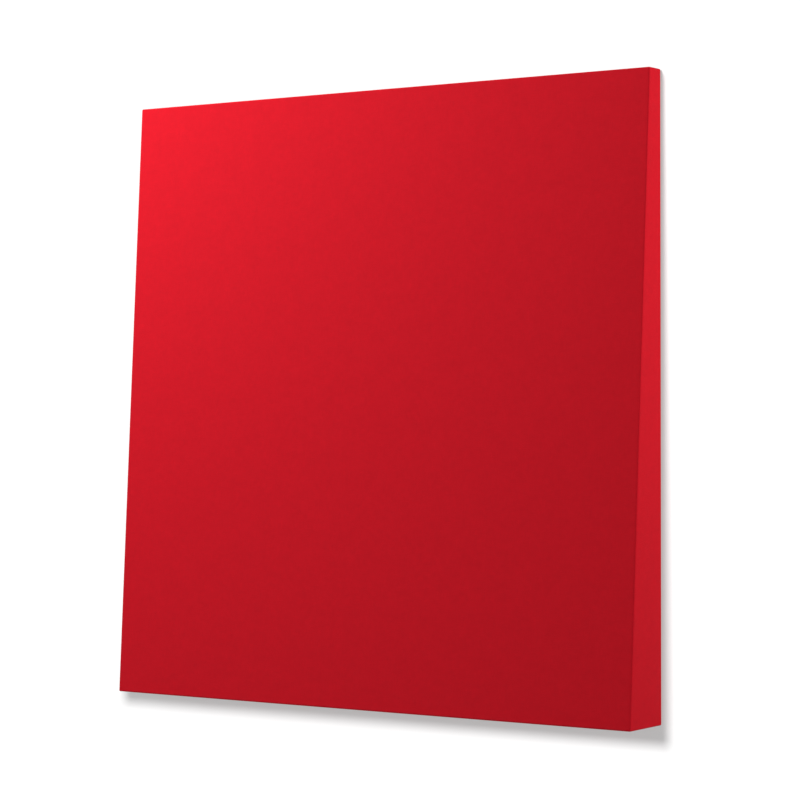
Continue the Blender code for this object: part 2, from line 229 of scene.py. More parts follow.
# %% [markdown]
# ## Effects that several finishes share
#
# Mottle is the slow, cloudy change of shade that keeps any real surface from looking painted on
# screen. It puts out a number near one, which a material multiplies into its colour.

# %% Mottle
MOTTLE, come_in, go_out = new_group(
    "Mottle",
    [("Vector", "Vector", None), ("Cloud Size", "Float", 0.1), ("Strength", "Float", 0.05)],
    [("Shade", "Float")],
)
tree = MOTTLE
per_metre = calc(tree, "DIVIDE", 1.0, come_in["Cloud Size"])
cloud = speckle(tree, come_in["Vector"], per_metre, detail=4.0, roughness=0.55)
centred = calc(tree, "SUBTRACT", cloud, 0.5)
change = calc(tree, "MULTIPLY", centred, come_in["Strength"])
tree.links.new(calc(tree, "ADD", 1.0, change), go_out["Shade"])
print("group:", MOTTLE.name)

# %% [markdown]
# A plain weave is two sets of threads that pass over and under each other, so the surface is a
# chessboard of knuckles. A sine wave each way gives a round bump for every square. Where the two
# waves have the same sign the upright thread is on top, and elsewhere the crosswise one, and a
# small power flattens the wave that runs along that thread, which makes its knuckle oblong.
# Noise first pushes the coordinates about by a part of a thread, because a weave without any
# wander looks printed and shimmers in a render.

# %% Plain weave
WANDER_CLOUDS = 0.21
WANDER_THREADS = 8.0
KNUCKLE_POWER = 0.3
SLUB_SHAPES = ((0.06, 0.9, 1.0), (0.9, 0.06, 1.0))

WEAVE, come_in, go_out = new_group(
    "Plain weave",
    [("Vector", "Vector", None), ("Pitch", "Float", 0.0007), ("Wander", "Float", 0.25)],
    [("Height", "Float"), ("Slub", "Float")],
)
tree = WEAVE
threads = scale_vector(tree, come_in["Vector"], calc(tree, "DIVIDE", 1.0, come_in["Pitch"]))
wander = calc(tree, "MULTIPLY", come_in["Wander"], WANDER_THREADS)
axes = split(tree, push_about(tree, threads, threads, WANDER_CLOUDS, wander))
waves = [calc(tree, "SINE", calc(tree, "MULTIPLY", axes[axis], math.pi)) for axis in (0, 1)]
upright_on_top = calc(tree, "GREATER_THAN", calc(tree, "MULTIPLY", *waves), 0.0)
crosswise_on_top = calc(tree, "SUBTRACT", 1.0, upright_on_top)
bumps = []
for wave, on_top in zip(waves, (upright_on_top, crosswise_on_top)):
    power = spread(tree, on_top, 0, 1, KNUCKLE_POWER, 1.0)
    bumps.append(calc(tree, "POWER", calc(tree, "ABSOLUTE", wave), power))
tree.links.new(calc(tree, "MULTIPLY", *bumps), go_out["Height"])
slubs = [speckle(tree, stretch(tree, threads, shape), 1.0, detail=1.0) for shape in SLUB_SHAPES]
tree.links.new(calc(tree, "SUBTRACT", calc(tree, "ADD", *slubs), 0.5), go_out["Slub"])
print("group:", WEAVE.name)

# %% [markdown]
# Wood grain is made in the way the tree makes it: rings of early and late growth, drawn out
# along the board. Noise that is long along the grain bends the coordinates, and a saw wave across
# them turns them into rings, each darkening slowly and ending sharply. A second, much finer noise
# along the same direction gives the pores.

# %% Wood grain
BEND_SHAPE = (0.7, 9.0, 9.0)
RING_TILT = 0.6
LATE_POWER = 2.2
PORE_SHAPE = (40.0, 1400.0, 1400.0)

GRAIN, come_in, go_out = new_group(
    "Wood grain",
    [("Along X", "Vector", None), ("Ring Width", "Float", 0.004), ("Bend", "Float", 0.006)],
    [("Late Wood", "Float"), ("Pores", "Float")],
)
tree = GRAIN
along_grain = come_in["Along X"]
bent = push_about(tree, along_grain, stretch(tree, along_grain, BEND_SHAPE), 3.0, come_in["Bend"])
axes = split(tree, bent)
across = calc(tree, "ADD", axes[1], calc(tree, "MULTIPLY", axes[2], RING_TILT))
growth = calc(tree, "FRACT", calc(tree, "DIVIDE", across, come_in["Ring Width"]))
tree.links.new(calc(tree, "POWER", growth, LATE_POWER), go_out["Late Wood"])
pores = speckle(tree, stretch(tree, along_grain, PORE_SHAPE), 1.0, detail=2.0)
tree.links.new(spread(tree, pores, 0.35, 0.65), go_out["Pores"])
print("group:", GRAIN.name)

# %% [markdown]
# Edges are handled, rubbed and knocked more than faces are. The Bevel node gives the normal that
# a rounded edge would have, so where it differs from the true normal there is an edge near by.
# Noise breaks the line up, because wear is never even.

# %% Edge wear
EDGE_WEAR, come_in, go_out = new_group(
    "Edge wear",
    [("Vector", "Vector", None), ("Reach", "Float", 0.0006), ("Patch Size", "Float", 0.006)],
    [("Worn", "Float")],
)
tree = EDGE_WEAR
rounded = add(tree, "ShaderNodeBevel", {"Radius": come_in["Reach"]}, samples=4).outputs[0]
true_normal = add(tree, "ShaderNodeNewGeometry").outputs["Normal"]
sameness = add(tree, "ShaderNodeVectorMath", {0: rounded, 1: true_normal}, operation="DOT_PRODUCT")
edge = spread(tree, sameness.outputs["Value"], 0.995, 0.80)
per_metre = calc(tree, "DIVIDE", 1.0, come_in["Patch Size"])
patches = speckle(tree, come_in["Vector"], per_metre, detail=3.0)
tree.links.new(calc(tree, "MULTIPLY", edge, spread(tree, patches, 0.38, 0.6)), go_out["Worn"])
print("group:", EDGE_WEAR.name)

# %% [markdown]
# Dust settles on whatever faces up. The mask is the upward part of the normal, cut by noise into
# the thin, uneven film that a panel on a wall gathers along its top.

# %% Dust
DUST, come_in, go_out = new_group(
    "Dust",
    [("Vector", "Vector", None), ("Amount", "Float", 0.2)],
    [("Film", "Float")],
)
tree = DUST
facing = split(tree, add(tree, "ShaderNodeNewGeometry").outputs["Normal"])
upward = spread(tree, facing["Z"], 0.55, 0.95)
specks = speckle(tree, come_in["Vector"], 160.0, detail=6.0, roughness=0.7)
film = calc(tree, "MULTIPLY", upward, spread(tree, specks, 0.3, 0.75))
tree.links.new(calc(tree, "MULTIPLY", film, come_in["Amount"]), go_out["Film"])
print("group:", DUST.name)

# %% [markdown]
# ## Finishes
#
# Each finish is one material with a Principled shader. `start_finish` makes the material, sets
# the numbers that are the same all over it, and hands back its nodes; the cells after it add
# what changes from place to place.

# %% Starting a finish
def start_finish(name, roughness, metallic=0.0, specular=0.5, **sockets):
    """A new material, its tree, its shader and the object's own coordinates in metres."""
    material = bpy.data.materials.new(name)
    material.use_nodes = True
    tree = material.node_tree
    shader = tree.nodes["Principled BSDF"]
    shader.inputs["Roughness"].default_value = roughness
    shader.inputs["Metallic"].default_value = metallic
    shader.inputs["Specular IOR Level"].default_value = specular
    for label, value in sockets.items():
        shader.inputs[label.replace("_", " ")].default_value = value
    here = add(tree, "ShaderNodeTexCoord").outputs["Object"]
    return material, tree, shader, here


def shade(tree, colour, factor):
    """A colour made lighter or darker by a factor near one."""
    grey = add(tree, "ShaderNodeCombineColor", {0: factor, 1: factor, 2: factor}).outputs[0]
    return mix(tree, 1.0, colour, grey, "MULTIPLY")


def emboss(tree, shader, height, depth):
    """A height in metres turned into the shader's normal."""
    bump = add(tree, "ShaderNodeBump", {"Height": height, "Distance": depth, "Strength": 1.0})
    tree.links.new(bump.outputs[0], shader.inputs["Normal"])

# %% [markdown]
# ### Red cover cloth
#
# The cloth is a close plain weave in a very deep red, stretched tight over a stiff board. Deep
# dye leaves almost no green or blue in the colour, so the plain white gloss has to stay low as
# well, or the red turns pink. The weave follows the flat cut: the mesh keeps each point's place
# on the cloth before it was wrapped, in metres, as a UV map called `flat_cut`.

# %% Red cover cloth
RED = (0.600, 0.0062, 0.0160, 1.0)
LINT = (0.42, 0.30, 0.28, 1.0)

red_cloth, tree, shader, here = start_finish("red_cover_cloth", 0.92, specular=0.10)
on_cloth = add(tree, "ShaderNodeUVMap", uv_map="flat_cut").outputs[0]
weave = place(tree, WEAVE, Vector=on_cloth, Pitch=0.00062, Wander=0.30)
felt = place(tree, MOTTLE, Vector=on_cloth, Cloud_Size=0.006, Strength=0.14)["Shade"]
cloud = place(tree, MOTTLE, Vector=on_cloth, Cloud_Size=0.019, Strength=0.11)["Shade"]
# Painted shade and light: the weave's height also darkens the colour in its hollows and lightens it
# on its knuckles.
painted_weave_shade = spread(tree, weave["Height"], 0, 1, 0.92, 1.11)
slub_shade = spread(tree, weave["Slub"], 0, 1, 0.95, 1.05)
red = shade(tree, RED, calc(tree, "MULTIPLY", felt, cloud))
red = shade(tree, red, calc(tree, "MULTIPLY", painted_weave_shade, slub_shade))
film = place(tree, DUST, Vector=here, Amount=0.035)["Film"]
tree.links.new(mix(tree, film, red, LINT), shader.inputs["Base Color"])
tree.links.new(spread(tree, weave["Height"], 0, 1, 0.97, 0.88), shader.inputs["Roughness"])
nap = calc(tree, "MULTIPLY", speckle(tree, on_cloth, 420.0, detail=3.0), 0.5)
emboss(tree, shader, calc(tree, "ADD", weave["Height"], nap), 0.00008)
print("finish:", red_cloth.name)

# %% [markdown]
# ### Black back cloth
#
# The back is closed with spunbond: a thin black felt of melted fibres, pressed together in a
# grid of small dots. The dots are dips in the height and look a little glossier than the felt.

# %% Black back cloth
BLACK = (0.011, 0.011, 0.012, 1.0)
DOT_PITCH = 1.6 * MM

black_cloth, tree, shader, here = start_finish("black_back_cloth", 0.85, specular=0.25)
axes = split(tree, here)
turned = [calc(tree, operation, axes["X"], axes["Z"]) for operation in ("ADD", "SUBTRACT")]
waves = [calc(tree, "COSINE", calc(tree, "MULTIPLY", way, math.tau / DOT_PITCH)) for way in turned]
dots = spread(tree, calc(tree, "ADD", *waves), 0.9, 1.6)
fibres = speckle(tree, stretch(tree, here, (900.0, 900.0, 260.0)), 1.0, detail=3.0)
cloud = place(tree, MOTTLE, Vector=here, Cloud_Size=0.012, Strength=0.7)["Shade"]
black = shade(tree, BLACK, calc(tree, "MULTIPLY", cloud, spread(tree, fibres, 0.3, 0.7, 0.7, 1.5)))
film = place(tree, DUST, Vector=here, Amount=0.15)["Film"]
tree.links.new(mix(tree, film, black, LINT), shader.inputs["Base Color"])
tree.links.new(spread(tree, dots, 0, 1, 0.88, 0.45), shader.inputs["Roughness"])
pressed = calc(tree, "SUBTRACT", calc(tree, "MULTIPLY", fibres, 0.6), dots)
emboss(tree, shader, pressed, 0.00008)
print("finish:", black_cloth.name)

# %% [markdown]
# ### Wool and board
#
# The absorber is mineral wool: short yellow fibres, felted in layers that lie parallel to the
# slab's faces. Stretched noise gives the layers and fine noise the fibres. The stiff board that
# keeps the front flat is the same fibre pressed hard, so its material differs only in values.

# %% Wool and board
def make_fibre_finish(name, colour, layer_size, relief):
    """A finish of felted fibres in layers."""
    material, tree, shader, here = start_finish(name, 1.0, specular=0.1)
    layers = speckle(tree, stretch(tree, here, (1.0, 14.0, 1.0)), 1.0 / layer_size, detail=5.0)
    strands = speckle(tree, stretch(tree, here, (700.0, 2600.0, 700.0)), 1.0, detail=4.0)
    layer_shade = spread(tree, layers, 0.3, 0.7, 0.82, 1.12)
    strand_shade = spread(tree, strands, 0.3, 0.7, 0.75, 1.15)
    fibre = shade(tree, colour, calc(tree, "MULTIPLY", layer_shade, strand_shade))
    tree.links.new(fibre, shader.inputs["Base Color"])
    emboss(tree, shader, calc(tree, "ADD", strands, layers), relief)
    print("finish:", name)
    return material


wool = make_fibre_finish("felted_mineral_wool", (0.50, 0.40, 0.13, 1.0), 0.03, 0.0006)
stiff_board = make_fibre_finish("pressed_glass_fibre", (0.62, 0.52, 0.22, 1.0), 0.05, 0.0001)

# %% [markdown]
# ### Pine
#
# The frame is planed pine. The grain runs along each rail, so the upright rails need their
# coordinates turned: the finish is made twice, once for each direction, from one function.

# %% Pine
EARLY_PINE = (0.66, 0.47, 0.26, 1.0)
LATE_PINE = (0.47, 0.26, 0.10, 1.0)
WORN_PINE = (0.74, 0.58, 0.38, 1.0)


def make_pine(name, long_axis):
    """Planed pine with its grain along one axis."""
    material, tree, shader, here = start_finish(name, 0.62, specular=0.35)
    if long_axis == "Z":
        axes = split(tree, here)
        sockets = {"X": axes["Z"], "Y": axes["X"], "Z": axes["Y"]}
        here = add(tree, "ShaderNodeCombineXYZ", sockets).outputs[0]
    grain = place(tree, GRAIN, Along_X=here, Ring_Width=0.0042, Bend=0.011)
    wood = mix(tree, grain["Late Wood"], EARLY_PINE, LATE_PINE)
    cloud = place(tree, MOTTLE, Vector=here, Cloud_Size=0.05, Strength=0.25)["Shade"]
    pores = spread(tree, grain["Pores"], 0, 1, 0.90, 1.03)
    wood = shade(tree, wood, calc(tree, "MULTIPLY", cloud, pores))
    worn = place(tree, EDGE_WEAR, Vector=here, Reach=0.0006, Patch_Size=0.010)["Worn"]
    tree.links.new(mix(tree, worn, wood, WORN_PINE), shader.inputs["Base Color"])
    tree.links.new(spread(tree, grain["Late Wood"], 0, 1, 0.68, 0.48), shader.inputs["Roughness"])
    emboss(tree, shader, calc(tree, "ADD", grain["Pores"], grain["Late Wood"]), 0.00004)
    print("finish:", name)
    return material


pine_across = make_pine("planed_pine_across", "X")
pine_upright = make_pine("planed_pine_upright", "Z")

# %% [markdown]
# ### Birch plywood
#
# On its faces plywood is one pale sheet of birch. On its edges the plies show, one light with
# the grain along the cut and the next dark with end grain. The ply lines are stripes across the
# thickness, and a mask made from the normal keeps them on the edges.

# %% Birch plywood
BIRCH = (0.74, 0.55, 0.34, 1.0)
BIRCH_FLECK = (0.60, 0.38, 0.19, 1.0)
PLY_END_GRAIN = (0.40, 0.25, 0.12, 1.0)
PLY_THICKNESS = 1.4 * MM

birch_ply, tree, shader, here = start_finish("birch_plywood_sheet", 0.55, specular=0.4)
grain = place(tree, GRAIN, Along_X=here, Ring_Width=0.013, Bend=0.045)
face_wood = mix(tree, calc(tree, "MULTIPLY", grain["Late Wood"], 0.35), BIRCH, BIRCH_FLECK)
through_board = split(tree, here)["Y"]
plies = calc(tree, "SINE", calc(tree, "MULTIPLY", through_board, math.pi / PLY_THICKNESS))
edge_wood = mix(tree, spread(tree, plies, -0.25, 0.25), BIRCH, PLY_END_GRAIN)
facing = split(tree, add(tree, "ShaderNodeNewGeometry").outputs["Normal"])
on_edge = spread(tree, calc(tree, "ABSOLUTE", facing["Y"]), 0.7, 0.4)
wood = mix(tree, on_edge, face_wood, edge_wood)
cloud = place(tree, MOTTLE, Vector=here, Cloud_Size=0.07, Strength=0.18)["Shade"]
pores = spread(tree, grain["Pores"], 0, 1, 0.88, 1.04)
wood = shade(tree, wood, calc(tree, "MULTIPLY", cloud, pores))
tree.links.new(wood, shader.inputs["Base Color"])
emboss(tree, shader, grain["Pores"], 0.00003)
print("finish:", birch_ply.name)

# %% [markdown]
# ### Aluminium bar
#
# The rail and the hooks are cut from one extruded bar. The die leaves fine lines along it, the
# matt anodising softens them, and the edges are rubbed brighter where metal slides on metal.

# %% Aluminium bar
ANODISED = (0.50, 0.50, 0.51, 1.0)
RUBBED = (0.78, 0.78, 0.78, 1.0)

bar_metal, tree, shader, here = start_finish(
    "anodised_aluminium_bar", 0.38, metallic=1.0, Anisotropic=0.35
)
die_lines = speckle(tree, stretch(tree, here, (6.0, 3200.0, 3200.0)), 1.0, detail=3.0)
line_shade = spread(tree, die_lines, 0.3, 0.7, 0.93, 1.04)
stains = place(tree, MOTTLE, Vector=here, Cloud_Size=0.02, Strength=0.16)["Shade"]
metal = shade(tree, ANODISED, calc(tree, "MULTIPLY", stains, line_shade))
worn = place(tree, EDGE_WEAR, Vector=here, Reach=0.0005, Patch_Size=0.008)["Worn"]
tree.links.new(mix(tree, worn, metal, RUBBED), shader.inputs["Base Color"])
matt = spread(tree, die_lines, 0.3, 0.7, 0.32, 0.46)
dull = calc(tree, "SUBTRACT", matt, calc(tree, "MULTIPLY", worn, 0.14))
tree.links.new(dull, shader.inputs["Roughness"])
emboss(tree, shader, die_lines, 0.00002)
print("finish:", bar_metal.name)

# %% [markdown]
# ### Zinc and staple wire
#
# Screws are zinc plated: bright, a little blue, and cloudy where the plating is thin. Staples
# are the same kind of thin bright coat on wire, so one function makes both.

# %% Zinc and staple wire
def make_plated(name, colour, thin_coat, roughness):
    """A thin bright coat of metal, cloudy where it is thin."""
    material, tree, shader, here = start_finish(name, roughness, metallic=1.0)
    cloud = speckle(tree, here, 900.0, detail=4.0, roughness=0.65)
    # The darker colour is the plating's own tone where the coat is thin, placed by noise.
    metal = mix(tree, spread(tree, cloud, 0.35, 0.65), thin_coat, colour)
    worn = place(tree, EDGE_WEAR, Vector=here, Reach=0.0002, Patch_Size=0.002)["Worn"]
    tree.links.new(mix(tree, worn, metal, RUBBED), shader.inputs["Base Color"])
    dull = spread(tree, cloud, 0.3, 0.7, roughness + 0.12, roughness - 0.06)
    tree.links.new(dull, shader.inputs["Roughness"])
    emboss(tree, shader, cloud, 0.00001)
    print("finish:", name)
    return material


zinc = make_plated("zinc_plated_steel", (0.66, 0.67, 0.68, 1.0), (0.48, 0.48, 0.47, 1.0), 0.30)
staple_wire = make_plated("staple_wire", (0.60, 0.59, 0.56, 1.0), (0.44, 0.42, 0.39, 1.0), 0.34)

# %% [markdown]
# ## The cover
#
# One piece of cloth is wrapped over the front and all four edges and folded on to the back. A
# box with a Bevel modifier would give the outline, but it has no room for the folds, so the
# cover is built as a lattice: lines run over the whole shape in three directions, and a point is
# made wherever two of them cross on the surface. Close to an edge the lines are spaced by the
# tangent of equal angles, so that pushing each point out from a core that is smaller by the
# radius gives a true round arris, also where three edges meet.

# %% Lines of the cover's lattice
ARRIS = 1.4 * MM
TURNS = [math.tan(math.radians(angle)) for angle in (45, 30, 15, 0)]
PAST_ARRIS = [step * MM for step in (2.0, 2.3, 2.6, 3.1, 4.2, 6.5, 10.5, 15.0, 20.0)]
NEAR_LINES = [ARRIS * (1 - turn) for turn in TURNS] + PAST_ARRIS
PATCH = 12 * MM


def lines_across(low, high):
    """Places of the lattice lines from one side of the cover to the other."""
    start = low + NEAR_LINES[-1]
    middle = high - low - 2 * NEAR_LINES[-1]
    count = round(middle / PATCH)
    even = [start + middle * number / count for number in range(1, count)]
    return [low + step for step in NEAR_LINES] + even + [high - step for step in NEAR_LINES[::-1]]


x_lines = lines_across(-HALF_WIDTH, HALF_WIDTH)
z_lines = lines_across(BOTTOM, TOP)
DEPTH_LINES = [(0, -turn) for turn in TURNS]
DEPTH_LINES += [(share, 0) for share in (0.03, 0.12, 0.3, 0.5, 0.7, 0.88, 0.97)]
DEPTH_LINES += [(1, turn) for turn in reversed(TURNS)]
print(len(x_lines), "by", len(z_lines), "lines over the front,", len(DEPTH_LINES), "over the edges")

# %% [markdown]
# At a corner the cloth has more width than the panel needs. The upholsterer lays the side's
# cloth round the corner first, folds the rest into a pleat and pulls it down over it. All that
# shows is the pleat's crease, on the top and bottom edges: it starts at the front corner and
# drifts inwards as it goes back. Here it is a step in the height of the cloth, dipping just
# outside the crease and swelling over the layers inside it. The height comes in over the first
# fifth of the edge's depth and fades close to the back. The drift is whole at the crease and dies
# away 20 mm from the side.

# %% Corner pleats
PLEAT_AT = [ARRIS] + PAST_ARRIS
PLEAT_RISE = [step * MM for step in (0, -0.20, -0.70, 0.26, 0.40, 0.42, 0.36, 0.24, 0.10, 0)]
PLEAT_DRIFT = 7 * MM
DRIFT_AT = [step * MM for step in (1.4, 1.9, 6.5, 20)]
DRIFT_SHARE = [0, 1, 1, 0]
RISE_START, RISE_END = 0.2, 0.06


def between(value, places, heights):
    """A value read off a line drawn through points."""
    if value <= places[0]:
        return heights[0]
    for index in range(1, len(places)):
        if value <= places[index]:
            share = (value - places[index - 1]) / (places[index] - places[index - 1])
            return heights[index - 1] + share * (heights[index] - heights[index - 1])
    return heights[-1]


def ease(value):
    """From 0 to 1 with a soft start and a soft end."""
    value = max(0.0, min(1.0, value))
    return value * value * (3 - 2 * value)


def pleat(x, share):
    """How far a point of the top or bottom edge moves inwards and outwards at the pleat."""
    from_side = HALF_WIDTH - abs(x)
    drift = PLEAT_DRIFT * share * between(from_side, DRIFT_AT, DRIFT_SHARE)
    fade = ease(share / RISE_START) * ease((1 - share) / RISE_END)
    return drift, between(from_side, PLEAT_AT, PLEAT_RISE) * fade


print(f"pleats swell by {max(PLEAT_RISE) / MM:.2f} mm and drift {PLEAT_DRIFT / MM:.0f} mm inwards")

# %% [markdown]
# The point function puts the parts together: the core, the push outwards, the pleat, and on the
# front a very slight unevenness, because even well stretched cloth over board isn't glass.
# `share` says how far back the core's point lies on the way from the front to the back, and
# `lean` how far the push leans to the front (-1) or to the back (1).

# %% A point of the cover
UNEVEN = 0.12 * MM
UNEVEN_SIZE = 0.09
UNEVEN_FROM_EDGE = 0.05


def cover_point(x, z, share, lean):
    """The place on the cover of one crossing of the lattice."""
    core_x = max(ARRIS - HALF_WIDTH, min(HALF_WIDTH - ARRIS, x))
    core_z = max(BOTTOM + ARRIS, min(TOP - ARRIS, z))
    core_front = front_y(core_z) - ARRIS / FRONT_NORMAL.y
    core_back = RETURN_Y - ARRIS
    core = Vector((core_x, core_front + (core_back - core_front) * share, core_z))
    outwards = Vector(((x - core_x) / ARRIS, 0, (z - core_z) / ARRIS))
    outwards += abs(lean) * (FRONT_NORMAL if lean < 0 else Vector((0, 1, 0)))
    point = core + ARRIS * outwards.normalized()
    on_front = (share, lean) == DEPTH_LINES[0]
    if on_front:
        inside = min(HALF_WIDTH - abs(x), z - BOTTOM, TOP - z)
        swell = noise.noise(Vector((x, z, 0)) / UNEVEN_SIZE) * ease(inside / UNEVEN_FROM_EDGE)
        point += UNEVEN * swell * FRONT_NORMAL
    elif z in (z_lines[0], z_lines[-1]):
        drift, rise = pleat(x, share)
        point.x -= math.copysign(drift, x)
        point.z += rise if z > MIDDLE_Z else -rise
    return point


front_corner = cover_point(HALF_WIDTH, TOP, *DEPTH_LINES[0])
print("front corner at", [round(value, 4) for value in front_corner])

# %% [markdown]
# The faces come patch by patch: the front, the two sides, the top and bottom, and the band that
# is turned on to the back. Each corner of each face also gets its place on the flat cloth, as if
# the cover were unwrapped, so the weave runs on round the edges as it does on the real cover.
# The returns lie against the wall, so they are simply set down beside the rest.

# %% Faces of the cover
RETURN_WIDTH = 15 * MM
RETURN_LINES = NEAR_LINES.index(RETURN_WIDTH)
LAST_X, LAST_Z, LAST_DEPTH = len(x_lines) - 1, len(z_lines) - 1, len(DEPTH_LINES) - 1


def on_flat_cloth(patch, point):
    """Where a point lay on the cloth before it was wrapped."""
    edge_depth = point.y - front_y(point.z)
    if patch == "front":
        return point.x, point.z
    if patch == "side":
        return math.copysign(HALF_WIDTH + edge_depth, point.x), point.z
    if patch == "end":
        return point.x, point.z + math.copysign(edge_depth, point.z - MIDDLE_Z)
    return point.x + 2 * HALF_WIDTH, point.z


def lattice_patches():
    """Every face as the lattice places of its corners, with the patch that it belongs to."""
    for i in range(LAST_X):
        for k in range(LAST_Z):
            quad = [(i, k), (i + 1, k), (i + 1, k + 1), (i, k + 1)]
            yield "front", [(a, 0, b) for a, b in quad]
            inside_x = min(i, LAST_X - 1 - i) >= RETURN_LINES
            inside_z = min(k, LAST_Z - 1 - k) >= RETURN_LINES
            if not (inside_x and inside_z):
                yield "back", [(a, LAST_DEPTH, b) for a, b in reversed(quad)]
    for j in range(LAST_DEPTH):
        for k in range(LAST_Z):
            quad = [(j, k), (j + 1, k), (j + 1, k + 1), (j, k + 1)]
            yield "side", [(LAST_X, a, b) for a, b in quad]
            yield "side", [(0, a, b) for a, b in reversed(quad)]
        for i in range(LAST_X):
            quad = [(i, j), (i, j + 1), (i + 1, j + 1), (i + 1, j)]
            yield "end", [(a, b, 0) for a, b in quad]
            yield "end", [(a, b, LAST_Z) for a, b in reversed(quad)]


shape = bmesh.new()
flat_cut = shape.loops.layers.uv.new("flat_cut")
made = {}


def lattice_vertex(i, j, k):
    """The point at one crossing of the lattice, made when it is first asked for."""
    if (i, j, k) not in made:
        made[i, j, k] = shape.verts.new(cover_point(x_lines[i], z_lines[k], *DEPTH_LINES[j]))
    return made[i, j, k]


for patch, corners in lattice_patches():
    face = shape.faces.new([lattice_vertex(*corner) for corner in corners])
    face.smooth = True
    for loop in face.loops:
        loop[flat_cut].uv = on_flat_cloth(patch, loop.vert.co)
shape.normal_update()
front_faces = [face for face in shape.faces if face.normal.y < -0.9]
print(len(shape.faces), "faces,", len(front_faces), "of them on the front")

# %% [markdown]
# On the back the returns meet at the corners in a mitre: the cloth is slit along the diagonal
# and the two edges lie side by side. The slit is cut with planes, two along it and one across
# its start, and the faces between them are taken out.

# %% Mitred returns
MITRE_GAP = 0.6 * MM
MITRE_START = 3 * MM
MITRE_REACH = 30 * MM
NEARLY = 0.01 * MM


def back_corner_geometry(corner):
    """The faces of the back band near a corner, with their edges and points."""

    def is_near(vertex):
        return vertex.co.y > RETURN_Y - NEARLY and (vertex.co - corner).length < MITRE_REACH

    faces = [face for face in shape.faces if all(is_near(vertex) for vertex in face.verts)]
    edges = {edge for face in faces for edge in face.edges}
    points = {vertex for face in faces for vertex in face.verts}
    return [*faces, *edges, *points]


slit_faces = []
for side in (-1, 1):
    for end in (-1, 1):
        corner = Vector((side * HALF_WIDTH, RETURN_Y, TOP if end > 0 else BOTTOM))
        inwards = Vector((-side, 0, -end)).normalized()
        sideways = Vector((side, 0, -end)).normalized()
        cuts = [(sideways, MITRE_GAP / 2), (sideways, -MITRE_GAP / 2), (inwards, MITRE_START)]
        for direction, distance in cuts:
            place_of_cut = corner + direction * distance
            near = back_corner_geometry(corner)
            bmesh.ops.bisect_plane(shape, geom=near, plane_co=place_of_cut, plane_no=direction)
        for face in back_corner_geometry(corner):
            if isinstance(face, bmesh.types.BMFace):
                offset = face.calc_center_median() - corner
                if abs(offset.dot(sideways)) < MITRE_GAP / 2 and offset.dot(inwards) > MITRE_START:
                    slit_faces.append(face)
bmesh.ops.delete(shape, geom=slit_faces, context="FACES")
print(len(slit_faces), "faces taken out of the four mitres")

# %% [markdown]
# The cloth gets its thickness last, with a Solidify modifier that works inwards, so the outside
# stays where the CAD cover has it.

# %% The finished cover
CLOTH = 0.8 * MM


def give_finish(mesh, finish):
    """A finish in place of whatever the mesh had."""
    mesh.materials.clear()
    mesh.materials.append(finish)


def new_piece(name, mesh, finish):
    """A piece of the panel with its finish, riding on the panel's body."""
    piece = put_in_scene(name, mesh)
    give_finish(mesh, finish)
    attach(piece, "panel")
    return piece


def thicken(piece, thickness, even):
    """A sheet given its thickness on the inside."""
    solidify = piece.modifiers.new("thickness", "SOLIDIFY")
    solidify.thickness = thickness
    solidify.offset = -1
    solidify.use_even_offset = even


cover = new_piece("cloth_cover", into_mesh(shape, "cloth_cover"), red_cloth)
thicken(cover, CLOTH, even=True)
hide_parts("fabric_cover")

# %% [markdown]
# ## The back cloth
#
# A sheet of black spunbond covers the raw edge of the returns and keeps fibres in. It has a
# window where the rail and the hooks go. Its edges are folded under before it is stapled, so
# there is a hem 12 mm wide that stands a little proud. The places of the window's edges are
# read from the CAD sheet: they are the middle two of its four levels.

# %% Sizes of the back cloth
cad_sheet = nodes["back_cloth"].data.vertices
sheet_low, sheet_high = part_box("back_cloth")
levels = sorted({round(vertex.co.z, 5) for vertex in cad_sheet})
reaches = sorted({round(abs(vertex.co.x), 5) for vertex in cad_sheet})
WINDOW_LOW, WINDOW_HIGH = levels[1], levels[-2]
WINDOW_HALF = reaches[0]
SHEET_HALF, SHEET_LOW, SHEET_HIGH = sheet_high.x, sheet_low.z, sheet_high.z
SHEET_Y = sheet_high.y - 0.35 * MM
SHEET_THICKNESS = 0.3 * MM
HEM = 12 * MM
WINDOW_HEM = 7 * MM
print(f"window {2 * WINDOW_HALF / MM:.0f} by {(WINDOW_HIGH - WINDOW_LOW) / MM:.0f} mm")

# %% [markdown]
# Staples hold the sheet every 50 mm or so. Their places are worked out before the cloth, because
# the cloth dips under each one and puckers between them. A person with a staple gun doesn't
# measure, so seeded random numbers move each place by some millimetres along and across its row,
# and turn it by some degrees.

# %% Places of the staples
STAPLE_INSET = 5.5 * MM
STAPLE_GAP = 52 * MM
FROM_CORNER = 18 * MM
FROM_WINDOW = 5 * MM
FROM_WINDOW_CORNER = 16 * MM
SLIP_ALONG, SLIP_ACROSS, SLIP_DEGREES = 3, 0.8, 7
hand = random.Random(24)


def slip(most):
    """A random amount, up to a limit on either side."""
    return hand.uniform(-most, most)


def staple_row(start, end):
    """Staples from one point to another: each a point, and the angle of its crown."""
    start, end = Vector(start), Vector(end)
    count = max(2, round((end - start).length / STAPLE_GAP) + 1)
    along = (end - start).normalized()
    angle = math.atan2(along.y, along.x)
    row = []
    for number in range(count):
        point = start.lerp(end, number / (count - 1))
        point += along * slip(SLIP_ALONG) * MM
        point += Vector((-along.y, along.x)) * slip(SLIP_ACROSS) * MM
        row.append((point, angle + math.radians(slip(SLIP_DEGREES))))
    return row


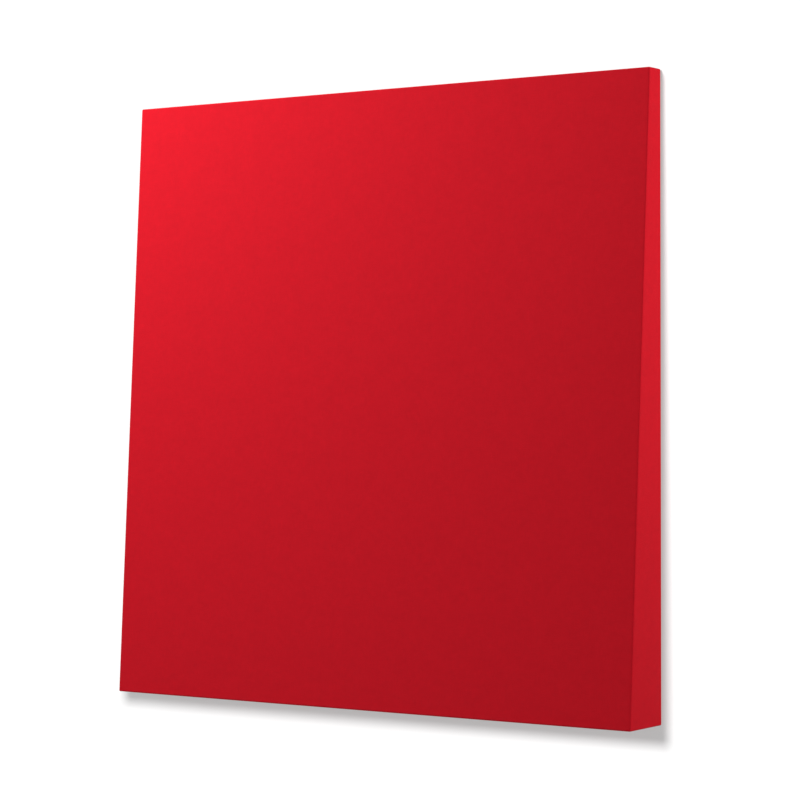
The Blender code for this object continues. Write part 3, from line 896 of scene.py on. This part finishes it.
side_x = SHEET_HALF - STAPLE_INSET
end_x = side_x - FROM_CORNER
low_z, high_z = SHEET_LOW + STAPLE_INSET, SHEET_HIGH - STAPLE_INSET
window_x = WINDOW_HALF - FROM_WINDOW_CORNER
under_z, over_z = WINDOW_LOW - FROM_WINDOW, WINDOW_HIGH + FROM_WINDOW
staple_rows = {
    "top": staple_row((-end_x, high_z), (end_x, high_z)),
    "bottom": staple_row((-end_x, low_z), (end_x, low_z)),
    "left": staple_row((-side_x, low_z + FROM_CORNER), (-side_x, high_z - FROM_CORNER)),
    "right": staple_row((side_x, low_z + FROM_CORNER), (side_x, high_z - FROM_CORNER)),
    "over_window": staple_row((-window_x, over_z), (window_x, over_z)),
    "under_window": staple_row((-window_x, under_z), (window_x, under_z)),
}
print({name: len(row) for name, row in staple_rows.items()}, "staples")

# %% [markdown]
# The sheet is one layer of points with a height for each, in millimetres. It stands up at the
# hem, turns down at the fold of its very edge, dips at every staple, and has slack puckers of two
# sizes between them. Solidify gives it its thickness.

# %% Height of the back cloth
HEM_RISE, HEM_STEP = 0.16, 1 * MM
FOLD_DROP, FOLD_WIDTH = 0.22, 0.7 * MM
DIP_DEPTH, DIP_RADIUS = 0.16, 4 * MM
SLACK_RISE, SLACK_START = 0.10, 4 * MM
all_staples = [point for row in staple_rows.values() for point, angle in row]


def sheet_height(x, z):
    """How far the sheet stands out towards the wall at a point."""
    to_edge = min(SHEET_HALF - abs(x), z - SHEET_LOW, SHEET_HIGH - z)
    to_window = max(abs(x) - WINDOW_HALF, z - WINDOW_HIGH, WINDOW_LOW - z)
    to_fold = min(to_edge, to_window)
    hem = max(ease((HEM - to_edge) / HEM_STEP), ease((WINDOW_HEM - to_window) / HEM_STEP))
    fold = ease(to_fold / FOLD_WIDTH) - 1
    nearest = min((Vector((x, z)) - point).length for point in all_staples)
    dip = math.exp(-((nearest / DIP_RADIUS) ** 2))
    slack = noise.noise(Vector((x, z, 3)) / 0.028) + 0.6 * noise.noise(Vector((x, z, 7)) / 0.011)
    height = HEM_RISE * hem + FOLD_DROP * fold - DIP_DEPTH * dip
    return (height + SLACK_RISE * slack * ease(to_fold / SLACK_START)) * MM


inwards = [sheet_height(0.1, SHEET_HIGH - step * MM) / MM for step in (0, 1, 6, 12, 30)]
print("heights in mm, from the top edge inwards:", [round(height, 2) for height in inwards])

# %% [markdown]
# The lines of the sheet lie close together at its edges and beside the window, where a fold or
# a hem changes the height quickly, and are evenly spread over the rest.

# %% Lines of the back cloth
EDGE_STEPS = [0, 0.25, 0.7, 3, 5.5, 8, 11, 11.6, 12.4]
WINDOW_STEPS = [0, 0.25, 0.7, 3, 5, 6, 6.6, 7.4]
SHEET_PATCH = 4.5 * MM


def steps_from(edge, way, steps):
    """Lines at steps of so many millimetres from an edge."""
    return [edge + way * step * MM for step in steps]


def fill(places):
    """Sorted places with even ones put between those that lie far apart."""
    places = sorted(set(round(place, 6) for place in places))
    filled = []
    for low, high in zip(places, places[1:]):
        count = max(1, round((high - low) / SHEET_PATCH))
        filled += [low + (high - low) * number / count for number in range(count)]
    return filled + [places[-1]]


side_lines = steps_from(SHEET_HALF, -1, EDGE_STEPS) + steps_from(WINDOW_HALF, 1, EDGE_STEPS[:3])
sheet_x = fill(side_lines + [-line for line in side_lines])
end_lines = steps_from(SHEET_LOW, 1, EDGE_STEPS) + steps_from(SHEET_HIGH, -1, EDGE_STEPS)
end_lines += steps_from(WINDOW_LOW, -1, WINDOW_STEPS) + steps_from(WINDOW_HIGH, 1, WINDOW_STEPS)
sheet_z = fill(end_lines)
print(len(sheet_x), "by", len(sheet_z), "lines over the back")

# %% [markdown]
# The faces fill the lattice except in the window.

# %% The finished back cloth
shape = bmesh.new()
made = {}


def sheet_vertex(i, k):
    """The point where two lines of the sheet cross, made when it is first asked for."""
    if (i, k) not in made:
        x, z = sheet_x[i], sheet_z[k]
        made[i, k] = shape.verts.new((x, SHEET_Y + sheet_height(x, z), z))
    return made[i, k]


for i in range(len(sheet_x) - 1):
    for k in range(len(sheet_z) - 1):
        middle_x = (sheet_x[i] + sheet_x[i + 1]) / 2
        middle_z = (sheet_z[k] + sheet_z[k + 1]) / 2
        if abs(middle_x) < WINDOW_HALF and WINDOW_LOW < middle_z < WINDOW_HIGH:
            continue
        corners = [(i, k), (i, k + 1), (i + 1, k + 1), (i + 1, k)]
        shape.faces.new([sheet_vertex(*corner) for corner in corners]).smooth = True
sheet_mesh = into_mesh(shape, "spunbond_back")
back_sheet = new_piece("spunbond_back", sheet_mesh, black_cloth)
thicken(back_sheet, SHEET_THICKNESS, even=False)
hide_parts("back_cloth")

# %% [markdown]
# ## Staples
#
# A staple is flat wire bent into a crown and two legs. One path is drawn with rounded corners,
# a flat section with eased edges is carried along it, and the result is set down at each place.
# Only the first millimetre of each leg is made, where it goes into the cloth. A curve with a
# bevel could make it too, but rings of points, written out, give one small mesh for a whole row.

# %% The shape of one staple
CROWN = 9.6 * MM
WIRE_WIDTH, WIRE_THICKNESS = 0.9 * MM, 0.42 * MM
CORNER_RADIUS, CORNER_STEPS = 0.5 * MM, 4
LEG = 1.0 * MM
EASED = 0.3


def staple_path():
    """Points of the wire's centreline, from the foot of one leg to the foot of the other."""
    right = [(CROWN / 2, -LEG)]
    for number in range(CORNER_STEPS + 1):
        turn = math.pi / 2 * number / CORNER_STEPS
        x = CROWN / 2 - CORNER_RADIUS * (1 - math.cos(turn))
        right.append((x, -CORNER_RADIUS + CORNER_RADIUS * math.sin(turn)))
    return [(-x, y) for x, y in right] + right[::-1]


def staple_rings():
    """The wire's sections, each as points (along the crown, out from the cloth, across the wire)."""
    path = staple_path()
    upper = [(1, 1 - EASED), (1 - EASED / 2, 1), (EASED / 2 - 1, 1), (-1, 1 - EASED)]
    section = upper + [(-across, -out) for across, out in upper]
    rings = []
    for index, (x, y) in enumerate(path):
        before = path[max(index - 1, 0)]
        after = path[min(index + 1, len(path) - 1)]
        tangent = Vector((after[0] - before[0], after[1] - before[1])).normalized()
        up = Vector((-tangent.y, tangent.x))
        ring = []
        for across, out in section:
            point = Vector((x, y)) + up * out * WIRE_THICKNESS / 2
            ring.append((point.x, point.y, across * WIRE_WIDTH / 2))
        rings.append(ring)
    return rings


RINGS = staple_rings()
print("a staple has", len(RINGS), "sections of", len(RINGS[0]), "points")

# %% [markdown]
# At each place the rings are turned, moved and joined by faces, and both feet are closed. A staple
# sits at the height that the sheet has there, so its crown lies in the dip that it presses.

# %% Staples in their places
def build_staples(name, row):
    """One row of staples, each seated on the sheet."""
    shape = bmesh.new()
    for point, angle in row:
        along = Vector((math.cos(angle), 0, math.sin(angle)))
        across = Vector((-math.sin(angle), 0, math.cos(angle)))
        seat = SHEET_Y + sheet_height(point.x, point.y) + WIRE_THICKNESS / 2
        centre = Vector((point.x, seat, point.y))
        rings = [
            [shape.verts.new(centre + along * a + Vector((0, b, 0)) + across * c) for a, b, c in ring]
            for ring in RINGS
        ]
        for first, second in zip(rings, rings[1:]):
            for number in range(len(first)):
                after = (number + 1) % len(first)
                quad = (first[number], second[number], second[after], first[after])
                shape.faces.new(quad).smooth = True
        shape.faces.new(rings[0])
        shape.faces.new(list(reversed(rings[-1])))
    bmesh.ops.recalc_face_normals(shape, faces=shape.faces)
    mesh = into_mesh(shape, name)
    mesh.set_sharp_from_angle(angle=math.radians(50))
    return new_piece(name, mesh, staple_wire)


for name, row in staple_rows.items():
    staples = build_staples("staples_" + name, row)
    print(staples.name, len(row), "staples")

# %% [markdown]
# ## Wool
#
# The slabs are hidden, but the part is also looked at in pieces, and wool isn't a sharp block.
# Each slab starts as its own solid. A voxel remesh rounds it off and gives it even faces, and
# noise then presses every point inwards by up to a millimetre, never outwards, so the slab
# stays in the room that it has between the boards. The noise is a fractal: the three numbers
# say how quickly its layers fade, how much finer each is than the last, and how many there are.

# %% Wool slabs
WOOL_VOXEL = 5 * MM
WOOL_RELIEF = 0.9 * MM
FELT_SIZE = 0.018
FELT_LAYERS = (0.8, 2.1, 4)


def build_wool(node):
    """A slab of wool in the place of its solid."""
    shape = bmesh.new()
    shape.from_mesh(nodes[node].data)
    bmesh.ops.remove_doubles(shape, verts=shape.verts, dist=NEARLY)
    rough = put_in_scene("rough", into_mesh(shape, "rough"))
    remesh = rough.modifiers.new("even faces", "REMESH")
    remesh.mode = "VOXEL"
    remesh.voxel_size = WOOL_VOXEL
    graph = bpy.context.evaluated_depsgraph_get()
    slab_mesh = bpy.data.meshes.new_from_object(rough.evaluated_get(graph))
    bpy.data.objects.remove(rough)
    normals = [vertex.normal.copy() for vertex in slab_mesh.vertices]
    for vertex, normal in zip(slab_mesh.vertices, normals):
        felt = 0.5 + 0.5 * noise.fractal(vertex.co / FELT_SIZE, *FELT_LAYERS)
        vertex.co -= normal * WOOL_RELIEF * max(0.0, min(1.0, felt))
    slab_mesh.shade_smooth()
    slab = new_piece("wool_" + node, slab_mesh, wool)
    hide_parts(node)
    print(slab.name, len(slab_mesh.polygons), "faces")


for node in ("top_core", "front_core", "upper_core", "lower_core"):
    build_wool(node)

# %% [markdown]
# ## Finishes for the solids
#
# Everything rigid keeps its CAD shape and only changes its finish.

# %% Finishes for the solids
def finish_solids(finish, names):
    """One finish on some of the CAD solids."""
    for name in names:
        give_finish(nodes[name].data, finish)
    print(finish.name, "on", len(names), "solids")


finish_solids(stiff_board, ["face_board"])
finish_solids(pine_across, ["top_rail", "bottom_rail", "centre_stretcher"])
finish_solids(pine_upright, ["left_side_rail", "right_side_rail"])
plywood = ["hanging_board", "upper_channel_strip", "lower_channel_strip"]
finish_solids(birch_ply, plywood + [name for name in nodes if name.endswith("gusset")])
finish_solids(bar_metal, ["wall_rail", "hook_clip_left", "hook_clip_right"])
finish_solids(zinc, [name for name in nodes if "screw" in name])

# %% [markdown]
# ## Wall and floor
#
# The wall and the floor aren't part of the object. The wall has to be white and carry the
# panel's soft shadow in front, and still let the back be seen and lit from behind. Its material
# is therefore only there for the camera, and only from the front: to every other ray, and from
# behind, it is clear. The floor is made the same way, so the panel can be seen from below. A
# little glow is added to what the camera sees, so that a lit wall reaches white without more
# light on the object, and the paint is kept dull, or the red cloth would tint it. The wall is in
# two halves that meet behind the panel, for the sake of the lamps below.

# %% Wall and floor
PAINT = (0.2, 0.2, 0.2, 1.0)
WALL_GLOW, FLOOR_GLOW = 0.41, 0.78
WALL_Y = 0.5 * MM
FLOOR_Z = BOTTOM - 0.75
REACH = 12.0


def make_backdrop(name, glow):
    """Dull paint with a glow, which only the camera sees, and only from the front."""
    material = bpy.data.materials.new(name)
    material.use_nodes = True
    tree = material.node_tree
    tree.nodes.clear()
    matt = add(tree, "ShaderNodeBsdfDiffuse", {"Color": PAINT}).outputs[0]
    glow = add(tree, "ShaderNodeEmission", {"Color": (1, 1, 1, 1), "Strength": glow}).outputs[0]
    seen = add(tree, "ShaderNodeAddShader", {0: matt, 1: glow}).outputs[0]
    clear = add(tree, "ShaderNodeBsdfTransparent").outputs[0]
    camera_ray = add(tree, "ShaderNodeLightPath").outputs["Is Camera Ray"]
    behind = add(tree, "ShaderNodeNewGeometry").outputs["Backfacing"]
    look = calc(tree, "MULTIPLY", camera_ray, calc(tree, "SUBTRACT", 1.0, behind))
    surface = add(tree, "ShaderNodeMixShader", {0: look, 1: clear, 2: seen}).outputs[0]
    add(tree, "ShaderNodeOutputMaterial", {"Surface": surface})
    return material


def build_plane(name, corners, material):
    """One flat face of the stage; the order of its corners turns it towards the panel."""
    mesh = bpy.data.meshes.new(name)
    mesh.from_pydata(corners, [], [list(range(len(corners)))])
    mesh.materials.append(material)
    plane = put_in_scene(name, mesh)
    return plane


def build_wall(name, left, right, material):
    """A part of the wall between two places across it."""
    corners = [(left, FLOOR_Z), (right, FLOOR_Z), (right, REACH), (left, REACH)]
    return build_plane(name, [(x, WALL_Y, z) for x, z in corners], material)


wall_paint = make_backdrop("wall_paint", WALL_GLOW)
left_wall = build_wall("left_wall", -REACH, 0, wall_paint)
right_wall = build_wall("right_wall", 0, REACH, wall_paint)
floor_paint = make_backdrop("pale_floor", FLOOR_GLOW)
floor_corners = [(-REACH, -REACH), (REACH, -REACH), (REACH, REACH), (-REACH, REACH)]
floor = build_plane("floor", [(x, y, FLOOR_Z) for x, y in floor_corners], floor_paint)
stage_planes = [left_wall, right_wall, floor]
for plane in stage_planes:
    print(plane.name, "faces", tuple(round(value) for value in plane.data.polygons[0].normal))

# %% [markdown]
# ## Light
#
# In the photograph the top left corner is more than twice as bright as the bottom right one, so
# the main lamp is close, up and to the left. The right edge is lit on its own by a second lamp,
# beside and just behind the panel. A third, behind the wall, is for the views from behind: it
# cannot reach the front. All of them are broad, which keeps the shadows soft. Their powers are
# set so that a colour renders about as written.

# %% Lamps
def build_lamp(name, kind, place, target, **settings):
    """A lamp at one place, turned to shine on another."""
    light = bpy.data.lights.new(name, kind)
    for label, value in settings.items():
        setattr(light, label, value)
    lamp = put_in_scene(name, light)
    lamp.location = place
    lamp.rotation_euler = (Vector(target) - Vector(place)).to_track_quat("-Z", "Y").to_euler()
    lamp.visible_camera = False
    return lamp


def build_disk_lamp(name, place, target, size, energy):
    """A broad, round lamp of some width and power."""
    return build_lamp(name, "AREA", place, target, shape="DISK", size=size, energy=energy)


object_lamps = [
    build_disk_lamp("key_lamp", (-0.685, -0.667, 0.726), (0, 0, -0.15), 0.34, 16.4),
    build_disk_lamp("side_lamp", (1.060, 0.170, 0.163), (0.305, -0.03, -0.15), 0.28, 5.2),
    build_disk_lamp("rear_lamp", (-0.15, 1.70, 1.10), (0, 0, -0.10), 0.9, 15.0),
]
print(len(object_lamps), "lamps on the panel")

# %% [markdown]
# The shadow in the photograph is short: about a centimetre beside the panel and two below it. The
# close lamp alone would draw it out to the right, so the wall and the floor take their light from
# distant, wide lamps instead. Light linking keeps each lamp to its own: a distant lamp adds
# nothing to the panel, and the panel still casts its shadow. The photograph's shadow also starts
# right at the lower left corner, although the wall lies a good way behind that corner. Light from
# the right puts it there, so the left half of the wall has a lamp of its own. Both lamps come
# down at the same slope, so the two shadows meet in one line under the panel. Each lamp is given
# by its slope sideways and its width in degrees.

# %% The wall's lamps
WALL_LIGHT = 9.0
SLOPE = 0.335


def light_only(lamp, planes):
    """Keep a lamp's light to some planes."""
    receivers = bpy.data.collections.new("lit_by_" + lamp.name)
    for plane in planes:
        receivers.objects.link(plane)
    lamp.light_linking.receiver_collection = receivers
    print(lamp.name, "lights", [plane.name for plane in planes])


def build_wall_lamp(name, sideways, width, planes):
    """A distant lamp, made stronger where it strikes the wall more slantwise."""
    place = Vector((sideways, -1.0, SLOPE))
    strength = WALL_LIGHT * place.length
    settings = {"angle": math.radians(width), "energy": strength}
    light_only(build_lamp(name, "SUN", place, (0, 0, 0), **settings), planes)


build_wall_lamp("left_wall_lamp", 0.737, 11.3, [left_wall])
build_wall_lamp("right_wall_lamp", -0.11, 13.0, [right_wall, floor])

all_but_stage = bpy.data.collections.new("not_lit_by_panel_lamps")
for plane in stage_planes:
    all_but_stage.objects.link(plane)
for member in all_but_stage.collection_objects:
    member.light_linking.link_state = "EXCLUDE"
for lamp in object_lamps:
    lamp.light_linking.receiver_collection = all_but_stage

# %% [markdown]
# The world is white to the camera and in reflections, and a dim, even fill for everything else.

# %% World
FILL = 0.36

world = bpy.data.worlds.new("studio")
bpy.context.scene.world = world
world.use_nodes = True
tree = world.node_tree
tree.nodes.clear()
ray = add(tree, "ShaderNodeLightPath").outputs
seen = calc(tree, "MAXIMUM", ray["Is Camera Ray"], ray["Is Glossy Ray"])
seen = calc(tree, "MAXIMUM", seen, ray["Is Transmission Ray"])
strength = spread(tree, seen, 0, 1, FILL, 1.0)
sky = add(tree, "ShaderNodeBackground", {"Color": (1, 1, 1, 1), "Strength": strength}).outputs[0]
add(tree, "ShaderNodeOutputWorld", {"Surface": sky})
bpy.context.scene.view_settings.view_transform = "Standard"
print("fill", FILL)
